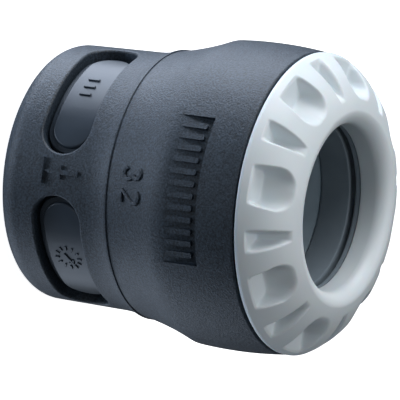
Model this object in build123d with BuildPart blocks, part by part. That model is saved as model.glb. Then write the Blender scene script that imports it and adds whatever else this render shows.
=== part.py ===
from build123d import *
from math import atan, cos, degrees, radians, sin
import os

os.makedirs("parts", exist_ok=True)

# Push-fit stop end for 32 mm water pipe. The axis is +Z, the mouth is up, and the origin is the
# centre of the flat far end. The mark line (depth bar, arrow and panel) faces -Y.

# ---- Driving dimensions, millimetres -------------------------------------------------------

pipe_diameter = 32.0
pipe_clearance = 0.4

# Radial build-up, from the pipe outwards
cup_wall = 5.3
nest_clearance = 0.15
band_wall = 3.55
band_flare = 0.4
collar_rise = 1.5
collar_rib = 0.45
collar_step = 0.2
seal_section = 4.2
housing_wall = 2.8
skirt_play = 0.6
skirt_wall = 2.9
thread_height = 1.05
thread_play = 0.3
bell_wall = 2.35
bell_barrel = 0.6

# Axial build-up, from the flat far end to the mouth
end_lip = 3.0
end_wall = 3.0
stop_height = 10.6
guide_length = 25.8
seal_height = 6.0
spigot_length = 3.6
flange_height = 1.4
sleeve_length = 3.1
grip_gap = 0.3
grip_height = 6.25
grip_travel = 1.0
washer_thickness = 0.9
washer_play = 0.15
front_wall = 6.1
dome_height = 9.1
ring_gap = 0.4

# Outer shell
end_radius = 4.75
end_opening_wall = 2.9
window_count = 4
window_length = 31.2
window_width = 10.5
window_z = 14.05
window_turn = 2.4
window_edge = 0.5
collar_below_seal = 10.4
collar_rib_width = 1.3
bell_above_seal = 2.0
bell_lip_radius = 0.5
flare_wall = 2.7

# Marks on the shell
mark_height = 0.4
mark_width = 0.85
mark_turn = 1.1
depth_bar_length = 5.1
arrow_head_length = 3.6
arrow_head_width = 2.8
arrow_shaft_length = 3.8
arrow_shaft_width = 1.0
panel_length = 7.9
panel_above_bell = 1.8
panel_depth = 1.2
panel_half_angle = 28.4
panel_bar_count = 12
panel_bar_length = 5.6
panel_bar_width = 1.15
panel_bar_spacing = 2.4

# Inner body
boss_groove = 0.5
boss_ledge = 0.9
boss_side = 0.3
boss_end = 0.9
boss_turn = 1.4
boss_recess = 1.2
boss_step = 0.6
boss_edge = 0.45
core_rim = 2.8
hub_radius = 5.0
rib_count = 12
rib_thickness = 1.6
flare_length = 6.0

# Thread between the lock ring and the shell
thread_pitch = 4.0
ridge_root_width = 1.7
ridge_crest_width = 1.1
ridge_bury = 0.3
shell_thread_turns = 1.1
ring_thread_turns = 1.75
thread_lead_in = 0.5

# Lock ring
entry_clearance = 0.6
lip_radius = 2.8
dome_band = 0.8
cone_slope = 0.42
cone_clearance = 0.3
bead_height = 0.5
bead_catch = 0.35
pocket_count = 8
pocket_width = 7.2
pocket_draft = 0.1
pocket_corner = 1.6
pocket_round = 4.4
pocket_floor = 2.2
pocket_reach = 6.1
pocket_lean = 2.75
wedge_outer_width = 4.6
wedge_inner_width = 1.5
wedge_reach = 5.4
wedge_lean = 3.9
pocket_phase = -4.4
wedge_phase = 18.1

# Grip ring
tooth_rows = 8
tooth_depth = 0.08
tooth_clearance = 0.3
grip_split = 4.0

# ---- Sizes that follow ---------------------------------------------------------------------

bore_radius = pipe_diameter / 2 + pipe_clearance
cup_radius = bore_radius + cup_wall
band_inner_radius = cup_radius + nest_clearance
band_radius = band_inner_radius + band_wall
band_top_radius = band_radius + band_flare
collar_radius = band_radius + collar_rise
seal_seat_radius = bore_radius + seal_section
housing_radius = seal_seat_radius + housing_wall
skirt_inner_radius = housing_radius + skirt_play
skirt_radius = skirt_inner_radius + skirt_wall
ring_crest_radius = skirt_radius + thread_height
shell_root_radius = ring_crest_radius + thread_play
shell_crest_radius = skirt_radius + thread_play
bell_radius = shell_root_radius + bell_wall
bell_end_radius = bell_radius - bell_barrel
entry_radius = pipe_diameter / 2 + entry_clearance
opening_radius = band_inner_radius - end_opening_wall

seal_seat_z = stop_height + guide_length
collar_z = seal_seat_z - collar_below_seal
bell_start_z = seal_seat_z + bell_above_seal
panel_z = bell_start_z + panel_above_bell
spigot_z = seal_seat_z + seal_height
housing_top_z = spigot_z + spigot_length
sleeve_z = housing_top_z + flange_height
retainer_top_z = sleeve_z + sleeve_length
grip_z = retainer_top_z + grip_gap
grip_top_z = grip_z + grip_height
washer_z = grip_top_z + grip_travel + grip_gap
washer_top_z = washer_z + washer_thickness
front_wall_z = washer_top_z + washer_play
mouth_z = front_wall_z + front_wall
dome_z = mouth_z - dome_height
shell_length = dome_z - ring_gap
shell_thread_z = shell_length - thread_lead_in - ridge_root_width / 2 - thread_pitch * shell_thread_turns
ring_thread_z = shell_thread_z - 1.5 * thread_pitch
skirt_z = ring_thread_z - ridge_root_width / 2

flare_z = min(window_z + window_width / 2 + 1.2, collar_z - collar_rib_width - 1)
bead_z = washer_z - washer_play - bead_height
cone_bottom_z = sleeve_z + grip_gap
cone_top_radius = bore_radius + 2.9
cone_bottom_radius = cone_top_radius + cone_slope * (bead_z - cone_bottom_z)
washer_outer_radius = cone_top_radius - 0.2 + bead_catch
bead_radius = washer_outer_radius - bead_catch
washer_pocket_radius = washer_outer_radius + 0.3
cone_gap = cone_slope * grip_travel + cone_clearance / cos(atan(cone_slope))


def cone_radius(height):
    """Radius of the lock ring's inner cone at a height."""
    return cone_top_radius + cone_slope * (bead_z - height)


def thread_ridge(radius, start_z, turns, outward):
    """Trapezoid ridge on a helix; it stands out of the wall, or into the bore."""
    side = 1 if outward else -1
    with BuildPart() as ridge:
        with BuildLine() as path:
            Helix(thread_pitch, thread_pitch * turns, radius, center=(0, 0, start_z))
        with BuildSketch(Plane(path.line @ 0, x_dir=(1, 0, 0), z_dir=path.line % 0)):
            with BuildLine():
                Polyline(
                    (-side * ridge_bury, -ridge_root_width / 2),
                    (-side * ridge_bury, ridge_root_width / 2),
                    (side * thread_height, ridge_crest_width / 2),
                    (side * thread_height, -ridge_crest_width / 2),
                    close=True,
                )
            make_face()
        sweep(is_frenet=True)
    return ridge.part


def pill_tool(length, width, inner_radius, outer_radius):
    """Pill that wraps round the axis about +X, between two radii, centred on height zero."""
    half_turn = degrees((length - width) / 2 / band_radius)
    with BuildPart() as pill:
        with BuildSketch(Plane.XZ.rotated((0, 0, -half_turn))):
            with Locations(((inner_radius + outer_radius) / 2, 0)):
                Rectangle(outer_radius - inner_radius, width)
        revolve(axis=Axis.Z, revolution_arc=2 * half_turn)
        for end in (-half_turn, half_turn):
            reach = (cos(radians(end)), sin(radians(end)), 0)
            start = Vector(*reach) * (inner_radius - 2)
            with BuildSketch(Plane(start, x_dir=(0, 0, 1), z_dir=reach)):
                Circle(width / 2)
            extrude(amount=outer_radius - inner_radius + 4)
        with BuildSketch(Plane.XY.offset(-width)):
            Circle(outer_radius)
            Circle(inner_radius, mode=Mode.SUBTRACT)
        extrude(amount=2 * width, mode=Mode.INTERSECT)
    return pill.part


# ---- Outer shell: grained polypropylene, moulded over the inner body -------------------------

shell_tool = pill_tool(window_length, window_width, band_inner_radius - 1, band_radius + 2)
window_start = 180 / window_count + window_turn
shell_thread = thread_ridge(shell_root_radius, shell_thread_z, shell_thread_turns, outward=False)
mark_dir = Vector(sin(radians(mark_turn)), -cos(radians(mark_turn)), 0)
mark_plane = Plane(
    mark_dir * (band_radius + mark_height + band_flare),
    x_dir=(cos(radians(mark_turn)), sin(radians(mark_turn)), 0),
    z_dir=mark_dir,
)
arrow_tip_z = stop_height + mark_width
arrow_neck_z = arrow_tip_z + arrow_head_length
rib_foot_radius = collar_radius - collar_rib
rib_foot_z = collar_z - collar_rib_width
collar_mid_radius = 0.63 * (collar_radius - collar_step) + 0.37 * bell_radius
panel_top_z = panel_z + panel_length

with BuildPart() as outer_shell:
    with BuildSketch(Plane.XZ):
        with BuildLine():
            Line((opening_radius, 0), (band_radius - end_radius, 0))
            RadiusArc((band_radius - end_radius, 0), (band_radius, end_radius), -end_radius)
            Line((band_radius, end_radius), (band_top_radius, flare_z))
            ThreePointArc(
                (band_top_radius, flare_z),
                (0.7 * band_top_radius + 0.3 * rib_foot_radius, (flare_z + rib_foot_z) / 2),
                (rib_foot_radius, rib_foot_z),
            )
            Polyline(
                (rib_foot_radius, rib_foot_z),
                (collar_radius, collar_z - 0.3 * collar_rib_width),
                (collar_radius, collar_z),
                (collar_radius - collar_step, collar_z + collar_step / 2),
            )
            ThreePointArc(
                (collar_radius - collar_step, collar_z + collar_step / 2),
                (collar_mid_radius, (collar_z + bell_start_z) / 2),
                (bell_radius - 0.3, bell_start_z),
            )
            ThreePointArc(
                (bell_radius - 0.3, bell_start_z),
                (bell_radius, (2 * bell_start_z + shell_length) / 3),
                (bell_end_radius, shell_length),
            )
            Line((bell_end_radius, shell_length), (shell_root_radius, shell_length))
            Line((shell_root_radius, shell_length), (shell_root_radius, bell_start_z + 2))
            Line((shell_root_radius, bell_start_z + 2), (bell_radius - flare_wall, bell_start_z))
            Line((bell_radius - flare_wall, bell_start_z), (band_inner_radius, collar_z - 2))
            Line((band_inner_radius, collar_z - 2), (band_inner_radius, end_lip))
            Line((band_inner_radius, end_lip), (opening_radius, end_lip))
            Line((opening_radius, end_lip), (opening_radius, 0))
        make_face()
    revolve(axis=Axis.Z)
    mouth_edges = outer_shell.edges().filter_by(GeomType.CIRCLE).group_by(Axis.Z)[-1]
    fillet(mouth_edges.sort_by(SortBy.RADIUS)[-1], bell_lip_radius)

    before = outer_shell.edges()
    with Locations((0, 0, window_z)):
        with PolarLocations(0, window_count, start_angle=window_start):
            add(shell_tool, mode=Mode.SUBTRACT)
    rims = (outer_shell.edges() - before).filter_by(
        lambda edge: Vector(edge.center().X, edge.center().Y, 0).length > band_radius - 1.2
        and abs(edge.center().Z - window_z) < window_width
        and min((Vector(v.X, v.Y, 0).length for v in edge.vertices()), default=0) > band_radius - 0.5
    )
    fillet(rims, window_edge)

    # Depth bar and arrow: the pipe's end reaches the bar when it is fully home
    with BuildSketch(mark_plane):
        with Locations((0, stop_height)):
            Rectangle(depth_bar_length, mark_width)
        with Locations((0, arrow_neck_z)):
            Rectangle(arrow_shaft_width, arrow_shaft_length, align=(Align.CENTER, Align.MIN))
        with BuildLine():
            Polyline(
                (0, arrow_tip_z),
                (arrow_head_width / 2, arrow_neck_z),
                (-arrow_head_width / 2, arrow_neck_z),
                close=True,
            )
        make_face()
    extrude(amount=-2 * mark_height - band_flare)

    # Recessed name panel, deep at its mouth side and fading out towards the flare
    with BuildSketch(Plane.XZ.rotated((0, 0, mark_turn - 90 - panel_half_angle))):
        with BuildLine():
            Polyline(
                (bell_radius - 0.1, panel_z),
                (bell_radius - panel_depth, panel_top_z),
                (bell_radius + 1, panel_top_z),
                (bell_radius + 1, panel_z),
                close=True,
            )
        make_face()
    revolve(axis=Axis.Z, revolution_arc=2 * panel_half_angle, mode=Mode.SUBTRACT)
    for index in range(panel_bar_count):
        bar_place = (index - (panel_bar_count - 1) / 2) * panel_bar_spacing
        bar_turn = radians(mark_turn - 90) + bar_place / bell_radius
        bar_dir = Vector(cos(bar_turn), sin(bar_turn), 0)
        with BuildSketch(Plane(bar_dir * (bell_radius - panel_depth - 0.2), x_dir=(0, 0, 1), z_dir=bar_dir)):
            with Locations((panel_z + panel_length / 2, 0)):
                RectangleRounded(panel_bar_length, panel_bar_width, panel_bar_width / 3)
        extrude(amount=panel_depth)

    add(shell_thread)

outer_shell.part.label = "outer_shell"
export_step(outer_shell.part, "parts/outer_shell.step")

# ---- Inner body: smooth polypropylene pressure cup with the seal's housing -------------------

boss_outer_radius = band_radius - boss_recess
boss_margin = boss_groove + boss_ledge
boss_tool = pill_tool(
    window_length - 2 * (boss_margin + boss_end),
    window_width - boss_margin - boss_side,
    cup_radius - 1,
    boss_outer_radius,
)
ledge_tool = pill_tool(
    window_length - 2 * (boss_groove + boss_end),
    window_width - boss_groove - boss_side,
    cup_radius - 1,
    boss_outer_radius - boss_step,
)
boss_z = window_z + (boss_margin - boss_side) / 2
ledge_z = window_z + (boss_groove - boss_side) / 2
plug_radius = opening_radius - nest_clearance
core_radius = plug_radius - core_rim
core_top_z = stop_height - end_wall
flare_start_z = collar_z - 2

with BuildPart() as inner_body:
    with BuildSketch(Plane.XZ):
        with BuildLine():
            Polyline(
                (0, stop_height),
                (bore_radius, stop_height),
                (bore_radius, seal_seat_z),
                (seal_seat_radius, seal_seat_z),
                (seal_seat_radius, housing_top_z),
                (housing_radius, housing_top_z),
                (housing_radius, flare_start_z + flare_length),
                (cup_radius, flare_start_z),
                (cup_radius, end_lip),
                (plug_radius, end_lip),
                (plug_radius, mark_height),
                (core_radius, mark_height),
                (core_radius, core_top_z),
                (0, core_top_z),
                close=True,
            )
        make_face()
    revolve(axis=Axis.Z)
    with BuildSketch(Plane.XY.offset(core_top_z)):
        Circle(hub_radius)
        with PolarLocations(0, rib_count):
            Rectangle(core_radius + core_rim / 2, rib_thickness, align=(Align.MIN, Align.CENTER))
    extrude(amount=-(core_top_z - 2 * mark_height))
    # The pads lie close to the windows' mouth side and in pairs closer to each other
    for tool, tool_z in ((boss_tool, boss_z), (ledge_tool, ledge_z)):
        for first_turn in (window_start + boss_turn, window_start + 360 / window_count - boss_turn):
            with Locations((0, 0, tool_z)):
                with PolarLocations(0, window_count // 2, start_angle=first_turn):
                    add(tool)
    boss_rims = inner_body.edges().filter_by(
        lambda edge: min((Vector(v.X, v.Y, 0).length for v in edge.vertices()), default=0)
        > boss_outer_radius - 0.05
    )
    fillet(boss_rims, boss_edge)
inner_body.part.label = "inner_body"
export_step(inner_body.part, "parts/inner_body.step")

# ---- Pipe seal: one-piece rubber ring with a wedge lip, drawn as it lies on the pipe ---------

seal_lip_radius = bore_radius - 0.15
with BuildPart() as pipe_seal:
    with BuildSketch(Plane.XZ):
        with BuildLine():
            Polyline(
                (seal_seat_radius - 0.05, seal_seat_z),
                (seal_seat_radius - 0.05, spigot_z),
                (seal_lip_radius + 1.9, spigot_z),
                (seal_lip_radius, spigot_z - 2.2),
                (seal_lip_radius, spigot_z - 3.4),
                (seal_lip_radius + 1.0, seal_seat_z + 1.0),
                (seal_lip_radius + 1.0, seal_seat_z),
                close=True,
            )
        make_face()
    revolve(axis=Axis.Z)
pipe_seal.part.label = "pipe_seal"
export_step(pipe_seal.part, "parts/pipe_seal.step")

# ---- Seal retainer: spigot in the housing, flange on its rim, smooth sleeve towards the grip --

retainer_bore_radius = bore_radius + nest_clearance
with BuildPart() as seal_retainer:
    with BuildSketch(Plane.XZ):
        with BuildLine():
            Polyline(
                (retainer_bore_radius, spigot_z),
                (seal_seat_radius - nest_clearance, spigot_z),
                (seal_seat_radius - nest_clearance, housing_top_z),
                (housing_radius, housing_top_z),
                (housing_radius, sleeve_z),
                (seal_seat_radius, sleeve_z),
                (seal_seat_radius, retainer_top_z),
                (retainer_bore_radius, retainer_top_z),
                close=True,
            )
        make_face()
    revolve(axis=Axis.Z)
seal_retainer.part.label = "seal_retainer"
export_step(seal_retainer.part, "parts/seal_retainer.step")

# ---- Grip ring: split acetal ring, cone outside, rows of teeth inside ------------------------

tooth_radius = pipe_diameter / 2 + tooth_clearance
tooth_pitch = grip_height / tooth_rows
grip_base_radius = cone_radius(grip_z) - cone_gap
grip_tip_radius = cone_radius(grip_top_z) - cone_gap
with BuildPart() as grip_ring:
    with BuildSketch(Plane.XZ):
        with BuildLine():
            Line((tooth_radius + tooth_depth, grip_z), (grip_base_radius, grip_z))
            Line((grip_base_radius, grip_z), (grip_tip_radius, grip_top_z))
            Line((grip_tip_radius, grip_top_z), (tooth_radius + tooth_depth, grip_top_z))
            for row in range(tooth_rows):
                row_top_z = grip_top_z - row * tooth_pitch
                Line((tooth_radius + tooth_depth, row_top_z), (tooth_radius, row_top_z - 0.35 * tooth_pitch))
                Line(
                    (tooth_radius, row_top_z - 0.35 * tooth_pitch),
                    (tooth_radius + tooth_depth, row_top_z - tooth_pitch),
                )
        make_face()
    revolve(axis=Axis.Z)
    with BuildSketch(Plane.XY.offset(grip_z - 1).rotated((0, 0, -90))):
        Rectangle(2 * grip_base_radius, grip_split, align=(Align.MIN, Align.CENTER))
    extrude(amount=grip_height + 2, mode=Mode.SUBTRACT)
grip_ring.part.label = "grip_ring"
export_step(grip_ring.part, "parts/grip_ring.step")

# ---- Slip washer: rides in the lock ring and keeps its turning away from the grip ring -------

with BuildPart() as slip_washer:
    with BuildSketch(Plane.XY.offset(washer_z)):
        Circle(washer_outer_radius)
        Circle(entry_radius + 0.1, mode=Mode.SUBTRACT)
    extrude(amount=washer_thickness)
slip_washer.part.label = "slip_washer"
export_step(slip_washer.part, "parts/slip_washer.step")

# ---- Lock ring: white acetal screw ring with finger pockets in its domed front ---------------

crest_radius = entry_radius + lip_radius
ring_thread = thread_ridge(skirt_radius, ring_thread_z, ring_thread_turns, outward=True)
pocket_floor_z = dome_z + pocket_floor
wedge_slant = Vector(-wedge_lean, 0, dome_height)
pocket_top_width = pocket_width + 2 * pocket_draft * dome_height

# A finger pocket is nearly square at its flat floor and D-shaped at the front; its inner end leans in
with BuildPart() as finger_pocket:
    with BuildSketch(Plane.XY.offset(pocket_floor_z)):
        with Locations((bell_end_radius - pocket_reach, 0)):
            RectangleRounded(3 * pocket_reach, pocket_width, pocket_corner, align=(Align.MIN, Align.CENTER))
    with BuildSketch(Plane.XY.offset(pocket_floor_z + dome_height)):
        with Locations((bell_end_radius - pocket_reach - pocket_lean, 0)):
            RectangleRounded(
                3 * pocket_reach, pocket_top_width, pocket_round, align=(Align.MIN, Align.CENTER)
            )
    loft(ruled=True)

with BuildPart() as wedge_pocket:
    with BuildSketch(Plane.XY.offset(pocket_floor_z)):
        with BuildLine():
            Polyline(
                (bell_end_radius - wedge_reach, wedge_inner_width / 2),
                (bell_end_radius, wedge_outer_width / 2),
                (bell_end_radius + wedge_lean, wedge_outer_width / 2),
                (bell_end_radius + wedge_lean, -wedge_outer_width / 2),
                (bell_end_radius, -wedge_outer_width / 2),
                (bell_end_radius - wedge_reach, -wedge_inner_width / 2),
                close=True,
            )
        make_face()
    extrude(amount=wedge_slant.length, dir=wedge_slant)

with BuildPart() as lock_ring:
    with BuildSketch(Plane.XZ):
        with BuildLine():
            Line((bell_end_radius, dome_z), (bell_end_radius, dome_z + dome_band))
            ThreePointArc(
                (bell_end_radius, dome_z + dome_band),
                (
                    crest_radius + 0.6 * (bell_end_radius - crest_radius),
                    dome_z + dome_band + 0.63 * (dome_height - dome_band),
                ),
                (crest_radius, mouth_z),
            )
            RadiusArc((crest_radius, mouth_z), (entry_radius, mouth_z - lip_radius), -lip_radius)
            Polyline(
                (entry_radius, mouth_z - lip_radius),
                (entry_radius, front_wall_z),
                (washer_pocket_radius, front_wall_z),
                (washer_pocket_radius, bead_z + bead_height),
                (bead_radius, bead_z + bead_height),
                (bead_radius, bead_z),
                (cone_top_radius, bead_z),
                (cone_bottom_radius, cone_bottom_z),
                (skirt_inner_radius, cone_bottom_z - 1),
                (skirt_inner_radius, skirt_z),
                (skirt_radius, skirt_z),
                (skirt_radius, dome_z),
                (bell_end_radius, dome_z),
            )
        make_face()
    revolve(axis=Axis.Z)
    with PolarLocations(0, pocket_count, start_angle=pocket_phase - 90):
        add(finger_pocket.part, mode=Mode.SUBTRACT)
    with PolarLocations(0, pocket_count, start_angle=wedge_phase - 90):
        add(wedge_pocket.part, mode=Mode.SUBTRACT)
    add(ring_thread)
lock_ring.part.label = "lock_ring"
export_step(lock_ring.part, "parts/lock_ring.step")
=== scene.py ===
# %% [markdown]
# # A push-fit pipe end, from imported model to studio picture
#
# A push-fit pipe end is a stack of moulded rings in one body. The engineering model already holds every
# size, so this lesson only adds what the eye needs: soft moulded edges, the grain of the plastic, the small
# marks, and light. We start by loading that model as a fixed frame and noting how large it is.

# %% Load the frame
import math

import bpy
import numpy as np
from mathutils import Matrix, Vector
from mathutils.bvhtree import BVHTree


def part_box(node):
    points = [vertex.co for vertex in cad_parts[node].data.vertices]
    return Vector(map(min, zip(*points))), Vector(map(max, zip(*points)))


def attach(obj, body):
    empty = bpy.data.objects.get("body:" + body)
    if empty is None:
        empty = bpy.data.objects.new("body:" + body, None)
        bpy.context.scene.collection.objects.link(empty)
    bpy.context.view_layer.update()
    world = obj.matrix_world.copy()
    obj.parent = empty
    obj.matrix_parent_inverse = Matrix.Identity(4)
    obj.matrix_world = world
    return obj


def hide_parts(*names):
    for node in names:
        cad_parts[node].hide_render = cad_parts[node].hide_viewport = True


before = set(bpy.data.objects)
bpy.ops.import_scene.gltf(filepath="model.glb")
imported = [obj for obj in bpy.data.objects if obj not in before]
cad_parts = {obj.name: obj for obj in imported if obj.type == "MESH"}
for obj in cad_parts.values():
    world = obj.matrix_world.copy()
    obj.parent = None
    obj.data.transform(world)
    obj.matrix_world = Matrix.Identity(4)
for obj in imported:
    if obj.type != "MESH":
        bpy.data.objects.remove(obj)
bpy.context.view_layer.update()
MM = 0.001

# %% [markdown]
# ## Sizes read from the frame
#
# Each piece's box tells us where its ends are. A maker reads a drawing the same way: overall heights and
# radii first, and then the few details that the boxes can't say, which are named beside the piece they
# belong to. Everything below is in millimetres until a mesh is written.

# %% Read the main sizes
def node_span(node):
    """Lowest height, highest height and outer radius of a node, in millimetres."""
    low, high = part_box(node)
    return low.z / MM, high.z / MM, max(high.x, high.y) / MM


shell_top, bell_radius = node_span("outer_shell")[1:]
skirt_low, mouth_z, ring_radius = node_span("lock_ring")
retainer_top, housing_radius = node_span("seal_retainer")[1:]
washer_low, washer_top, washer_radius = node_span("slip_washer")
print(f"bell radius {bell_radius:.2f} mm, ring radius {ring_radius:.2f} mm, length {mouth_z:.2f} mm")

# %% [markdown]
# ## Small tools for the bench
#
# Colours are chosen as the hex codes that a painter would read off a chart. A renderer adds light in linear
# values, so one function turns the code to linear. A second function adds one shader node, with its settings
# and its links, and every material below is written with it.

# %% Colour and node helpers
def linear(code):
    """sRGB hex code to a linear RGBA colour."""
    channels = [int(code[i : i + 2], 16) / 255 for i in (1, 3, 5)]
    return [c / 12.92 if c <= 0.04045 else ((c + 0.055) / 1.055) ** 2.4 for c in channels] + [1.0]


def add_node(tree, kind, links=(), **settings):
    """Adds a node; settings are its properties or socket values, links are (socket, output) pairs."""
    node = tree.nodes.new(kind)
    sockets = {socket.name.lower().replace(" ", "_"): socket for socket in reversed(node.inputs)}
    for name, value in settings.items():
        if name in sockets:
            sockets[name].default_value = value
        else:
            setattr(node, name, value)
    for socket, output in links:
        tree.links.new(output, node.inputs[socket])
    return node


def new_material(name):
    """An empty node material with its output, ready for a surface."""
    material = bpy.data.materials.new(name)
    material.use_nodes = True
    material.node_tree.nodes.clear()
    return material, material.node_tree


# %% [markdown]
# ## The camera
#
# The fitting is seen from a little above its mouth end, and the camera is rolled so that the pipe axis lies
# across the picture. A long lens from two metres away keeps the two ends nearly the same size. It is aimed
# from the middle of the narrow gap between the shell and the white ring.

# %% Place the camera
VIEW_ELEVATION = math.radians(27.96)
VIEW_ROLL = math.radians(97.84)
CAMERA_DISTANCE = 2.0879
LENS_MM = 957.0
AIM_RIGHT = 0.020867
AIM_DOWN = 0.000685
RING_GAP = 0.4

forward = Vector((0, math.cos(VIEW_ELEVATION), -math.sin(VIEW_ELEVATION)))
level_up = Vector((0, math.sin(VIEW_ELEVATION), math.cos(VIEW_ELEVATION)))
level_right = Vector((1, 0, 0))
right = math.cos(VIEW_ROLL) * level_right + math.sin(VIEW_ROLL) * level_up
up = right.cross(forward)
joint_centre = Vector((0, 0, (shell_top + RING_GAP / 2) * MM))
eye = joint_centre - AIM_RIGHT * right + AIM_DOWN * up - CAMERA_DISTANCE * forward

camera_data = bpy.data.cameras.new("camera")
camera_data.lens = LENS_MM
camera_data.sensor_width = 36.0
camera_data.clip_end = 50.0
camera = bpy.data.objects.new("camera", camera_data)
camera.matrix_world = Matrix.Translation(eye) @ Matrix((right, up, -forward)).transposed().to_4x4()
bpy.context.scene.collection.objects.link(camera)
bpy.context.scene.camera = camera
print("camera at", [round(value, 3) for value in eye])

# %% [markdown]
# ## Floor and light
#
# The floor is a light table: a pale translucent sheet that glows evenly and throws no shadow. Since it lets
# lamps shine through, a soft box can stand under it as well as above. The part's walls are seen from above,
# so they mirror what is below the table, and the long highlight on the dark shell comes from a lamp there.
# A small second lamp under the table brings out the waist and gives the marks a short shadow, and a third
# one lights the far edge. Above the table, the key lamp shapes the white ring, a front lamp looks into the
# bore, and a weak side lamp opens the shadows that face the camera.

# %% Build the light table and the lamps
FLOOR_SIZE = 6.0
FLOOR_Z = -0.05 * MM
FLOOR_GLOW = 0.94
ROOM_GLOW = 0.075
floor_material, tree = new_material("light_table")
glow = add_node(tree, "ShaderNodeEmission", color=linear("#ffffff"), strength=FLOOR_GLOW)
matte = add_node(tree, "ShaderNodeBsdfDiffuse", color=linear("#ffffff"))
both = add_node(tree, "ShaderNodeAddShader")
tree.links.new(glow.outputs[0], both.inputs[0])
tree.links.new(matte.outputs[0], both.inputs[1])
add_node(tree, "ShaderNodeOutputMaterial", links=[("Surface", both.outputs[0])])

half = FLOOR_SIZE / 2
floor_mesh = bpy.data.meshes.new("floor")
floor_mesh.from_pydata(
    [(-half, -half, FLOOR_Z), (half, -half, FLOOR_Z), (half, half, FLOOR_Z), (-half, half, FLOOR_Z)],
    [], [(0, 1, 2, 3)],
)
floor = bpy.data.objects.new("floor", floor_mesh)
floor.data.materials.append(floor_material)
floor.visible_diffuse = False
floor.visible_glossy = False
floor.visible_shadow = False
bpy.context.scene.collection.objects.link(floor)


def soft_box(name, direction, distance, size, brightness, colour):
    """A square lamp facing the fitting; brightness is what a white card facing it would reflect."""
    lamp = bpy.data.lights.new(name, "AREA")
    lamp.size = size
    lamp.energy = brightness * math.pi**2 * distance**2
    lamp.color = linear(colour)[:3]
    holder = bpy.data.objects.new(name, lamp)
    middle = Vector((0, 0, mouth_z * MM / 2))
    holder.location = middle + Vector(direction).normalized() * distance
    holder.rotation_euler = (middle - holder.location).to_track_quat("-Z", "Y").to_euler()
    bpy.context.scene.collection.objects.link(holder)


soft_box("key_light", (-0.88, -0.1, 0.37), 0.5, 0.36, 0.84, "#fafcff")
soft_box("table_light", (-0.86, 0.11, -0.5), 0.45, 0.42, 1.6, "#e2edff")
soft_box("waist_light", (-0.12, -0.46, -0.84), 0.5, 0.2, 0.42, "#d8e9ff")
soft_box("edge_light", (0.76, 0.12, -0.68), 0.5, 0.45, 0.46, "#dcebff")
soft_box("front_light", (-0.15, -0.02, 0.98), 0.5, 0.4, 0.42, "#fafcff")
soft_box("side_light", (0.0, -0.98, 0.12), 0.6, 0.3, 0.08, "#f2f7fb")

world = bpy.data.worlds.new("studio")
world.use_nodes = True
room = world.node_tree.nodes["Background"]
room.inputs["Color"].default_value = linear("#eef5fb")
room.inputs["Strength"].default_value = ROOM_GLOW
bpy.context.scene.world = world
bpy.context.scene.view_settings.view_transform = "Standard"

# %% [markdown]
# ## Spark-grained polypropylene
#
# The outer shell is black-grey polypropylene. Spark-eroded steel leaves a fine even grain like this one,
# which breaks the highlight into speckles. Polypropylene's refractive index is 1.49, and the grain makes it
# look rougher than it is. The grain is drawn at 0.4 mm, which is coarse for such a finish, so that it shows.
# A much wider cloud makes the gloss slightly uneven.

# %% Make the grained shell material
GRAIN_MM = 0.4
GRAIN_DEPTH_MM = 0.13
CLOUD_MM = 11.11


def grained_polypropylene():
    """Dark moulding with spark-eroded grain and slightly uneven colour."""
    material, tree = new_material("grained_polypropylene")
    place = add_node(tree, "ShaderNodeTexCoord")
    grain = add_node(
        tree, "ShaderNodeTexNoise", links=[("Vector", place.outputs["Object"])],
        scale=1 / (GRAIN_MM * MM), detail=3.0, roughness=0.6,
    )
    cloud = add_node(
        tree, "ShaderNodeTexNoise", links=[("Vector", place.outputs["Object"])],
        scale=1 / (CLOUD_MM * MM), detail=2.0,
    )
    colour = add_node(tree, "ShaderNodeValToRGB", links=[("Fac", grain.outputs["Fac"])])
    colour.color_ramp.elements[0].position = 0.36
    colour.color_ramp.elements[0].color = linear("#141c24")
    colour.color_ramp.elements[1].position = 0.68
    colour.color_ramp.elements[1].color = linear("#394653")
    rough = add_node(
        tree, "ShaderNodeMapRange", links=[("Value", cloud.outputs["Fac"])],
        to_min=0.44, to_max=0.54,
    )
    bump = add_node(
        tree, "ShaderNodeBump", links=[("Height", grain.outputs["Fac"])],
        strength=1.0, distance=GRAIN_DEPTH_MM * MM,
    )
    surface = add_node(
        tree, "ShaderNodeBsdfPrincipled",
        links=[
            ("Base Color", colour.outputs["Color"]),
            ("Roughness", rough.outputs["Result"]),
            ("Normal", bump.outputs["Normal"]),
        ],
        ior=1.49,
    )
    add_node(tree, "ShaderNodeOutputMaterial", links=[("Surface", surface.outputs["BSDF"])])
    return material


shell_material = grained_polypropylene()
print("made", shell_material.name)

# %% [markdown]
# ## Satin mouldings
#
# The other pieces come from smooth steel, so they have a satin gloss instead of a grain. One function makes
# this finish: the flow of the plastic leaves a faint mottle in the colour and the gloss, and a finer ripple
# keeps the highlights from looking perfect. Each plastic below brings its own colours and gloss.

# %% Write the satin finish
RIPPLE_MM = 0.6
RIPPLE_DEPTH_MM = 0.03
SCATTER_MM = 0.7
GLOSS_SPREAD = 0.04


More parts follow.
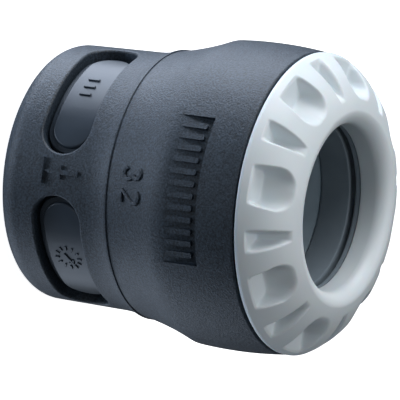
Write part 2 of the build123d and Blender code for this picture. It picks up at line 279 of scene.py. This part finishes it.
def satin_moulding(name, dark, light, roughness, ior, flow_mm, scatter=0.0):
    """Smooth moulding with flow marks flow_mm wide; scatter is how much light enters the plastic."""
    material, tree = new_material(name)
    place = add_node(tree, "ShaderNodeTexCoord")
    flow = add_node(
        tree, "ShaderNodeTexNoise", links=[("Vector", place.outputs["Object"])],
        scale=1 / (flow_mm * MM), detail=2.0,
    )
    colour = add_node(tree, "ShaderNodeValToRGB", links=[("Fac", flow.outputs["Fac"])])
    colour.color_ramp.elements[0].position = 0.3
    colour.color_ramp.elements[0].color = linear(dark)
    colour.color_ramp.elements[1].position = 0.7
    colour.color_ramp.elements[1].color = linear(light)
    rough = add_node(
        tree, "ShaderNodeMapRange", links=[("Value", flow.outputs["Fac"])],
        to_min=roughness - GLOSS_SPREAD, to_max=roughness + GLOSS_SPREAD,
    )
    fine = add_node(
        tree, "ShaderNodeTexNoise", links=[("Vector", place.outputs["Object"])],
        scale=1 / (RIPPLE_MM * MM), detail=2.0,
    )
    bump = add_node(
        tree, "ShaderNodeBump", links=[("Height", fine.outputs["Fac"])],
        strength=0.12, distance=RIPPLE_DEPTH_MM * MM,
    )
    surface = add_node(
        tree, "ShaderNodeBsdfPrincipled",
        links=[
            ("Base Color", colour.outputs["Color"]),
            ("Roughness", rough.outputs["Result"]),
            ("Normal", bump.outputs["Normal"]),
        ],
        ior=ior,
    )
    if scatter:
        surface.inputs["Subsurface Weight"].default_value = scatter
        surface.inputs["Subsurface Scale"].default_value = SCATTER_MM * MM
    add_node(tree, "ShaderNodeOutputMaterial", links=[("Surface", surface.outputs["BSDF"])])
    return material


# %% [markdown]
# ### Smooth polypropylene
#
# The inner body is the same dark plastic as the shell, moulded without the grain. Its raised pads show
# through the shell's windows, a little glossier than what surrounds them.

# %% Make the inner body's material
cup_material = satin_moulding("smooth_polypropylene", "#28313a", "#313b46", 0.36, 1.49, 9.0)
print("made", cup_material.name)

# %% [markdown]
# ### White acetal
#
# The lock ring is white acetal, a dense waxy plastic of refractive index 1.48. Light enters it a little way,
# and that softens the shade in its pockets.

# %% Make the lock ring's material
acetal_material = satin_moulding("white_acetal", "#d2dade", "#d9e0e3", 0.42, 1.48, 12.0, scatter=0.12)
print("made", acetal_material.name)

# %% [markdown]
# ### The rings in the mouth
#
# Deeper in, the grip ring and its washer are a dark acetal, the ring that holds the seal is pale blue-grey
# polypropylene, and the seal is black rubber. They lie in shade, which makes them look darker than they are,
# so the acetal carries painted light: it is coloured a mid grey, lighter than it really is, to come out as
# charcoal.

# %% Make the materials of the inner rings
# Painted light: the grip ring and washer get a mid grey, lighter than their charcoal acetal, to make up for
# the shade they lie in.
grip_material = satin_moulding("black_acetal", "#7d8891", "#85919a", 0.42, 1.48, 6.0)
retainer_material = satin_moulding("grey_polypropylene", "#c0d2dd", "#c8d9e3", 0.4, 1.49, 6.0)
rubber_material = satin_moulding("seal_rubber", "#17191b", "#202326", 0.62, 1.52, 3.0)
print("made", grip_material.name, retainer_material.name, rubber_material.name)

# %% [markdown]
# ## Turned grids
#
# Most of these pieces are rings, so one function turns an outline round the axis into an even grid of
# four-sided faces. Any point of the grid may be moved before the mesh is written, and that is how pockets
# and threads are shaped. A grid keeps soft shading clean, which a mesh from cutting solids doesn't.

# %% Write the grid helpers
ROUND_POINTS = 4
LARGEST_SHARE = 0.45


def soft_outline(corners, spacing):
    """Closed outline with points about every spacing along its sides; corners are (r, z, radius)."""
    points = []
    count = len(corners)
    for index in range(count):
        here = np.array(corners[index][:2])
        back = np.array(corners[index - 1][:2])
        ahead = np.array(corners[(index + 1) % count][:2])
        radius = corners[index][2]
        to_back = (back - here) / np.linalg.norm(back - here)
        to_ahead = (ahead - here) / np.linalg.norm(ahead - here)
        if radius > 0:
            half_angle = math.acos(np.clip(np.dot(to_back, to_ahead), -1, 1)) / 2
            shortest = min(np.linalg.norm(back - here), np.linalg.norm(ahead - here))
            reach = min(radius / math.tan(half_angle), LARGEST_SHARE * shortest)
            start, end = here + to_back * reach, here + to_ahead * reach
            for step in np.linspace(0, 1, ROUND_POINTS):
                points.append((1 - step) ** 2 * start + 2 * step * (1 - step) * here + step**2 * end)
        else:
            points.append(here)
    filled = []
    for index, point in enumerate(points):
        following = points[(index + 1) % len(points)]
        steps = max(1, int(round(np.linalg.norm(following - point) / spacing)))
        filled.extend(point + (following - point) * step / steps for step in range(steps))
    return np.array(filled)


def grid_faces(rows, columns, first):
    """Four-sided faces of a grid of points that closes round the axis."""
    index = first + np.arange(rows * columns).reshape(rows, columns)
    beside = np.roll(index, -1, axis=1)
    return np.stack([index[:-1], beside[:-1], beside[1:], index[1:]], axis=-1).reshape(-1, 4).tolist()


def turned_mesh(name, grids, material):
    """One mesh from grids of (angle, radius, height), each with its rows by columns in millimetres."""
    points, faces = [], []
    for angle, radius, height in grids:
        faces += grid_faces(*radius.shape, len(points))
        point = np.stack([radius * np.cos(angle), radius * np.sin(angle), height], axis=-1) * MM
        points += point.reshape(-1, 3).tolist()
    mesh = bpy.data.meshes.new(name)
    mesh.from_pydata(points, [], faces)
    mesh.shade_smooth()
    mesh.materials.append(material)
    piece = bpy.data.objects.new(name, mesh)
    bpy.context.scene.collection.objects.link(piece)
    print(name, len(mesh.polygons), "faces")
    return piece


def smooth_step(value, low, high):
    """Runs from 0 at low to 1 at high, with no corner at either end."""
    t = np.clip((value - low) / (high - low), 0, 1)
    return t * t * (3 - 2 * t)


# %% [markdown]
# ## The lock ring
#
# The white ring is turned by hand, so its domed front has eight D-shaped finger pockets with eight narrow
# wedges between them, and every edge is soft. The front is shaped as a grid of heights: at each point the
# pocket's floor and leaning end wall are compared with the dome, and the lower one wins, blended over a
# small radius. First come the sizes that the boxes can't tell.

# %% Name the lock ring's sizes
POCKETS = 8
FINGER_PHASE = math.radians(-4.4 - 90)
WEDGE_PHASE = math.radians(18.1 - 90)
POCKET_FLOOR = 2.2
DOME_BAND = 0.8
ENTRY_RADIUS = 16.6
LIP_RADIUS = 2.8

dome_z = shell_top + RING_GAP
floor_z = dome_z + POCKET_FLOOR
dome_height = mouth_z - dome_z
crest_radius = ENTRY_RADIUS + LIP_RADIUS
print(f"dome {dome_height:.2f} mm high, pocket floors at {floor_z:.2f} mm")

# %% [markdown]
# ### Outlines of the pockets
#
# A finger pocket is nearly square at its floor and D-shaped at the front, because its inner end leans and
# its corners grow on the way up. A wedge widens outwards. Each outline is a function that says how far a
# point lies outside the pocket at a level above its floor, and a negative answer means inside. Sizes per
# level are how much a width or a corner grows for each millimetre of height.

# %% Describe the finger pocket and the wedge
LEAN_HEIGHT = 9.1
FINGER_REACH = 6.1
FINGER_HALF_WIDTH = 3.6
FINGER_WIDTH_PER_LEVEL = 0.1
FINGER_CORNER = 1.6
FINGER_CORNER_PER_LEVEL = 0.3
FINGER_LEAN = 2.75 / LEAN_HEIGHT
WEDGE_REACH = 5.4
WEDGE_INNER_HALF = 0.75
WEDGE_OUTER_HALF = 2.3
WEDGE_LEAN = 3.9 / LEAN_HEIGHT


def finger_outline(radial, across, level):
    """Distance outside a finger pocket at a level."""
    half_width = FINGER_HALF_WIDTH + FINGER_WIDTH_PER_LEVEL * level
    corner = FINGER_CORNER + FINGER_CORNER_PER_LEVEL * level
    inner = ring_radius - FINGER_REACH - FINGER_LEAN * level
    ahead = inner + corner - radial
    beside = np.abs(across) - half_width + corner
    past_corner = np.hypot(np.maximum(ahead, 0), np.maximum(beside, 0))
    return past_corner + np.minimum(np.maximum(ahead, beside), 0) - corner


def wedge_outline(radial, across, level):
    """Distance outside a narrow wedge at a level."""
    inner = ring_radius - WEDGE_REACH - WEDGE_LEAN * level
    spread = np.clip((radial - inner) / WEDGE_REACH, 0, 1)
    half_width = WEDGE_INNER_HALF + spread * (WEDGE_OUTER_HALF - WEDGE_INNER_HALF)
    return np.maximum(np.abs(across) - half_width, inner - radial)


print("a finger pocket is", 2 * FINGER_HALF_WIDTH, "mm wide at its floor")

# %% [markdown]
# ### From outline to surface
#
# Going down through the levels in small steps tells at which one a point leaves its pocket, and that is the
# height of the leaning wall there. Two more helpers blend the wall into the floor and round the rim.

# %% Write the surface helpers
LEVEL_STEP = 0.1
OUT_OF_REACH = 20.0
EDGE_RADIUS = 0.42


def pocket_level(radial, across, outline):
    """Level above the pocket's floor at which a point comes inside the outline."""
    level = np.full(radial.shape, OUT_OF_REACH)
    above = outline(radial, across, LEAN_HEIGHT)
    for low in np.arange(LEAN_HEIGHT - LEVEL_STEP, -LEVEL_STEP / 2, -LEVEL_STEP):
        here = outline(radial, across, low)
        crossing = low + LEVEL_STEP * np.clip(here, 0, None) / np.maximum(here - above, 1e-6)
        level = np.where(here < 0, low, np.where((above < 0) & (here >= 0), crossing, level))
        above = here
    return level


def soft_lower(a, b, blend):
    """The lower of two heights, blended where they cross."""
    overlap = np.clip(blend - np.abs(a - b), 0, None) / blend
    return np.minimum(a, b) - overlap**2 * blend / 4


def rim_drop(distance):
    """How far a rounded rim lies below the dome at a distance outside the pocket."""
    near = np.clip(1 - distance / EDGE_RADIUS, 0, 1)
    return EDGE_RADIUS * (1 - np.sqrt(1 - near**2))


def fold(angle, phase):
    """Angle from the middle of the nearest pocket."""
    step = 2 * np.pi / POCKETS
    return (angle - phase + step / 2) % step - step / 2


# %% [markdown]
# ### The dome and the rolled lip
#
# The front is two arcs: a flat dome from the ring's rim to the crest, and a quarter circle that rolls over
# the crest into the mouth. The dome is given by three points, as on a drawing.

# %% Draw the front of the ring
DOME_POINTS = 70
LIP_POINTS = 10
DOME_MIDDLE_OUT = 0.6
DOME_MIDDLE_UP = 0.63


def arc_through(a, b, c, count):
    """Points on the circle through three points, from a to c."""
    (ax, ay), (bx, by), (cx, cy) = a, b, c
    d = 2 * (ax * (by - cy) + bx * (cy - ay) + cx * (ay - by))
    ux = ((ax**2 + ay**2) * (by - cy) + (bx**2 + by**2) * (cy - ay) + (cx**2 + cy**2) * (ay - by)) / d
    uy = ((ax**2 + ay**2) * (cx - bx) + (bx**2 + by**2) * (ax - cx) + (cx**2 + cy**2) * (bx - ax)) / d
    radius = math.hypot(ax - ux, ay - uy)
    start = math.atan2(ay - uy, ax - ux)
    end = math.atan2(cy - uy, cx - ux)
    turn = np.linspace(start, end, count)
    return np.stack([ux + radius * np.cos(turn), uy + radius * np.sin(turn)], axis=-1)


dome_low = dome_z + DOME_BAND
dome_middle = (
    crest_radius + DOME_MIDDLE_OUT * (ring_radius - crest_radius),
    dome_low + DOME_MIDDLE_UP * (dome_height - DOME_BAND),
)
dome = arc_through((ring_radius, dome_low), dome_middle, (crest_radius, mouth_z), DOME_POINTS)
lip_z = mouth_z - LIP_RADIUS
lip_turn = np.linspace(np.pi / 2, np.pi, LIP_POINTS + 1)[1:]
lip_radii = crest_radius + LIP_RADIUS * np.cos(lip_turn)
lip = np.stack([lip_radii, lip_z + LIP_RADIUS * np.sin(lip_turn)], axis=-1)
front = np.concatenate([dome, lip])
print("front outline", len(front), "points")

# %% [markdown]
# ### The inside and the skirt
#
# Behind the lip, the ring holds the washer between a wall and a small bead. A cone below the bead closes the
# grip ring, and the skirt goes down round the seal's housing and carries the thread.

# %% Draw the back of the ring
WASHER_PLAY = 0.15
WASHER_POCKET_PLAY = 0.3
BEAD_HEIGHT = 0.5
BEAD_CATCH = 0.35
CONE_STEP = 0.2
CONE_SLOPE = 0.42
SLEEVE_LENGTH = 3.1
GRIP_GAP = 0.3
SKIRT_PLAY = 0.6
SKIRT_WALL = 2.9
OUTLINE_SPACING = 0.6

front_wall_z = washer_top + WASHER_PLAY
bead_top = washer_low - WASHER_PLAY
bead_low = bead_top - BEAD_HEIGHT
bead_radius = washer_radius - BEAD_CATCH
washer_pocket_radius = washer_radius + WASHER_POCKET_PLAY
cone_top_radius = bead_radius + CONE_STEP
cone_low = retainer_top - SLEEVE_LENGTH + GRIP_GAP
cone_low_radius = cone_top_radius + CONE_SLOPE * (bead_low - cone_low)
skirt_inner = housing_radius + SKIRT_PLAY
skirt_radius = skirt_inner + SKIRT_WALL
inside_corners = [
    (ENTRY_RADIUS, lip_z, 0),
    (ENTRY_RADIUS, front_wall_z, 0.15),
    (washer_pocket_radius, front_wall_z, 0.1),
    (washer_pocket_radius, bead_top, 0.1),
    (bead_radius, bead_top, 0.1),
    (bead_radius, bead_low, 0.1),
    (cone_top_radius, bead_low, 0.1),
    (cone_low_radius, cone_low, 0.2),
    (skirt_inner, cone_low - 1, 0.2),
    (skirt_inner, skirt_low, 0.3),
    (skirt_radius, skirt_low, 0.3),
    (skirt_radius, dome_z, 0.2),
    (ring_radius, dome_z, 0.35),
    (ring_radius, dome_low, 0),
]
whole = soft_outline(inside_corners, OUTLINE_SPACING)
last = int(np.argmin(np.linalg.norm(whole - dome[0], axis=1)))
back = np.concatenate([whole[:last], dome[:1]])
print("back outline", len(back), "points")

# %% [markdown]
# ### The thread
#
# The ring screws into the shell on a coarse trapezoid thread. It is made by pushing the points of the skirt
# outwards wherever they lie near a helix, and it fades in and out at its ends, as a moulded thread does.

# %% Write the thread
PITCH = 4.0
RIDGE_HEIGHT = 1.05
RIDGE_HALF_WIDTH = 0.85
RIDGE_FLANK = 0.3
FADE_TURNS = 0.06
THREAD_TURNS = 1.75
THREAD_LEAD_IN = 0.5
SHELL_THREAD_TURNS = 1.1
TURNS_BELOW_SHELL_THREAD = 1.5


def ridge(angle, height, start_z, turns):
    """How far the thread stands out at each angle and height."""
    rise = height - start_z - PITCH * angle / (2 * np.pi)
    nearest = np.round(rise / PITCH)
    turn = nearest + angle / (2 * np.pi)
    flank = np.clip((RIDGE_HALF_WIDTH - np.abs(rise - nearest * PITCH)) / RIDGE_FLANK, 0, 1)
    fade = smooth_step(turn, 0.0, FADE_TURNS) * (1 - smooth_step(turn, turns - FADE_TURNS, turns))
    return RIDGE_HEIGHT * flank * fade


shell_thread_z = shell_top - THREAD_LEAD_IN - RIDGE_HALF_WIDTH - SHELL_THREAD_TURNS * PITCH
thread_start = shell_thread_z - TURNS_BELOW_SHELL_THREAD * PITCH
print(f"thread starts at {thread_start:.2f} mm and rises {PITCH} mm a turn")

# %% [markdown]
# ### Turn the ring and press the pockets in
#
# Both outlines are turned round the axis. The front gets many columns, because the pockets' rims need them,
# and the back gets fewer. After the pockets are pressed in, two passes even out the small steps in them, and
# the untouched dome keeps its exact shape.

# %% Shape the lock ring
FRONT_COLUMNS = 832
BACK_COLUMNS = 320
FLOOR_BLEND = 0.7
EVENING_PASSES = 2
TOUCHED = 0.02


def around(outline, columns):
    """Angle, radius and height grids of an outline turned round the axis."""
    angle = np.linspace(0, 2 * np.pi, columns, endpoint=False)[None, :]
    return angle, np.repeat(outline[:, :1], columns, axis=1), np.repeat(outline[:, 1:], columns, axis=1)


angle, radius, height = around(front, FRONT_COLUMNS)
plain = height.copy()
for phase, outline in ((FINGER_PHASE, finger_outline), (WEDGE_PHASE, wedge_outline)):
    turned = fold(angle, phase)
    radial, across = radius * np.cos(turned), radius * np.sin(turned)
    cut = floor_z + pocket_level(radial, across, outline)
    outside = outline(radial, across, np.maximum(plain - floor_z, 0))
    rounded = height - rim_drop(np.clip(outside, 0, None))
    pressed = np.where(outside > 0, rounded, soft_lower(height, cut, FLOOR_BLEND))
    height = np.where(plain < floor_z, height, pressed)
for evening in range(EVENING_PASSES):
    settled = (np.roll(height, 1, axis=1) + np.roll(height, -1, axis=1)) / 4 + height / 2
    settled[1:-1] = settled[1:-1] / 2 + (settled[:-2] + settled[2:]) / 4
    height = np.where(np.abs(height - plain) > TOUCHED, settled, height)

back_angle, back_radius, back_height = around(back, BACK_COLUMNS)
on_skirt = np.abs(back_radius - skirt_radius) < 0.01
back_radius = back_radius + on_skirt * ridge(back_angle, back_height, thread_start, THREAD_TURNS)
lock_ring = turned_mesh(
    "lock_ring_soft",
    [(angle, radius, height), (back_angle, back_radius, back_height)],
    acetal_material,
)
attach(lock_ring, "lock_ring")
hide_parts("lock_ring")

# %% [markdown]
# ## Finish the CAD pieces
#
# The shell, the cup and the inner rings have the right shape already. They get their material, and three
# modifiers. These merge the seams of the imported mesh, keep its true corners crisp, and let large faces
# decide the shading next to small ones, so that curved walls look smooth.

# %% Dress the frame's own nodes
SEAM_GAP = 0.002 * MM
CORNER_ANGLE = math.radians(32)


def dress(node, material):
    """Gives a CAD node its material, merged seams and smooth shading."""
    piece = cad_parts[node]
    piece.data.materials.clear()
    piece.data.materials.append(material)
    piece.data.shade_smooth()
    weld = piece.modifiers.new("merge_seams", "WELD")
    weld.merge_threshold = SEAM_GAP
    split = piece.modifiers.new("keep_corners", "EDGE_SPLIT")
    split.split_angle = CORNER_ANGLE
    piece.modifiers.new("even_shading", "WEIGHTED_NORMAL")


node_materials = {
    "outer_shell": shell_material,
    "inner_body": cup_material,
    "pipe_seal": rubber_material,
    "seal_retainer": retainer_material,
    "grip_ring": grip_material,
    "slip_washer": grip_material,
}
for node, material in node_materials.items():
    dress(node, material)
print("dressed", len(node_materials), "nodes")

# %% [markdown]
# ## Raised marks
#
# Mould makers cut marks into the steel, so they stand up from the plastic: here the pipe size, a date dial
# that tells when the piece was moulded, and three plain dashes where a plastics code would be. Each mark is
# a set of strokes. A stroke is a soft-edged ridge along a line, and every point of the line is dropped onto
# the surface by a ray, so that the mark follows the curve it stands on.

# %% Draw a ridge along a line on a surface
STROKE_RISE = 0.6
STROKE_SECTION = ((-1, -0.5), (-1, 0.5), (-0.65, 1), (0.65, 1), (1, 0.5), (1, -0.5))
RAY_START = 50.0


def surface_tree(node):
    """Ray target of a CAD node's mesh, in world space."""
    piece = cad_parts[node]
    points = [piece.matrix_world @ vertex.co for vertex in piece.data.vertices]
    return BVHTree.FromPolygons(points, [face.vertices[:] for face in piece.data.polygons])


def on_surface(tree, turn, height):
    """Point and outward normal where a ray towards the axis meets the surface; turn 0 is the mark line."""
    outward = Vector((math.sin(turn), -math.cos(turn), 0))
    start = outward * RAY_START * MM + Vector((0, 0, height * MM))
    point = tree.ray_cast(start, -outward)[0]
    return point, outward


def stroke(tree, middle, line, width, points, faces):
    """Adds one ridge to points and faces; the line is (along the turn, towards the mouth), in mm."""
    turn, height = middle
    reach = on_surface(tree, turn, height)[0].xy.length / MM
    spots = [on_surface(tree, turn + across / reach, height + up) for across, up in line]
    first, sides = len(points), len(STROKE_SECTION)
    for index, (spot, outward) in enumerate(spots):
        ahead = spots[min(index + 1, len(spots) - 1)][0] - spots[max(index - 1, 0)][0]
        side = ahead.cross(outward).normalized()
        for aside, rise in STROKE_SECTION:
            points.append(spot + side * aside * width / 2 * MM + outward * rise * STROKE_RISE * width * MM)
    for row in range(first, first + sides * (len(spots) - 1), sides):
        for k in range(sides):
            following = (k + 1) % sides
            faces.append((row + k, row + following, row + following + sides, row + k + sides))
    end = first + sides * len(spots)
    faces.append(tuple(reversed(range(first, first + sides))))
    faces.append(tuple(range(end - sides, end)))


def raised_mark(name, node, strokes, material):
    """One mesh of ridges on a node; strokes are (middle, line, width)."""
    tree = surface_tree(node)
    points, faces = [], []
    for middle, line, width in strokes:
        stroke(tree, middle, line, width, points, faces)
    mesh = bpy.data.meshes.new(name)
    mesh.from_pydata(points, [], faces)
    mesh.materials.append(material)
    mark = bpy.data.objects.new(name, mesh)
    bpy.context.scene.collection.objects.link(mark)
    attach(mark, "fitting")
    print(name, len(strokes), "strokes")


def arc_line(centre, radius, start, end, count=9):
    """Points on an arc; angles in degrees from the turn's direction towards the mouth."""
    turns = np.radians(np.linspace(start, end, count))
    return [(centre[0] + radius * math.cos(t), centre[1] + radius * math.sin(t)) for t in turns]


# %% [markdown]
# ### The size
#
# The numerals give the pipe's outer diameter, 32 mm, and read along the turn of the part.

# %% Raise the numerals
NUMERAL_SPOT = (math.radians(2.4), 32.2)
NUMERAL_STROKE = 0.75
THREE_TOP = arc_line((-2.3, 1.1), 1.0, 160, -80)
THREE_BASE = arc_line((-2.3, -1.0), 1.2, 80, -160)
TWO_LINE = arc_line((2.3, 0.95), 1.2, 165, -30) + [(1.2, -2.2), (3.55, -2.2)]
raised_mark(
    "size_numerals", "outer_shell",
    [(NUMERAL_SPOT, line, NUMERAL_STROKE) for line in (THREE_TOP, THREE_BASE, TWO_LINE)],
    shell_material,
)

# %% [markdown]
# ### The date dial
#
# A date dial is a round insert in the mould: twelve ticks for the months, and an arrow that the moulder
# turns with a screwdriver.

# %% Raise the date dial
DIAL_SPOT = (math.radians(44.6), 14.6)
MONTHS = 12
TICK_ENDS = (2.0, 2.9)
TICK_STROKE = 0.4
SHAFT_STROKE = 0.5
dial = []
for month in range(MONTHS):
    tick = 2 * math.pi * month / MONTHS
    ends = [(reach * math.cos(tick), reach * math.sin(tick)) for reach in TICK_ENDS]
    dial.append((DIAL_SPOT, ends, TICK_STROKE))
dial.append((DIAL_SPOT, [(-1.0, -0.7), (1.2, 0.8)], SHAFT_STROKE))
dial.append((DIAL_SPOT, [(0.3, 0.95), (1.3, 0.9), (1.2, -0.1)], TICK_STROKE))
raised_mark("date_dial", "inner_body", dial, cup_material)

# %% [markdown]
# ### The dashes
#
# A plastics code would stand on the other pad. Three plain dashes take its place.

# %% Raise the dashes
DASH_SPOT = (math.radians(-44.2), 14.2)
DASH_HALF_LENGTH = 1.2
DASH_SPACING = 2.1
DASH_STROKE = 0.6
dashes = []
for place in (-DASH_SPACING, 0, DASH_SPACING):
    dashes.append((DASH_SPOT, [(place, -DASH_HALF_LENGTH), (place, DASH_HALF_LENGTH)], DASH_STROKE))
raised_mark("plastic_dashes", "inner_body", dashes, cup_material)
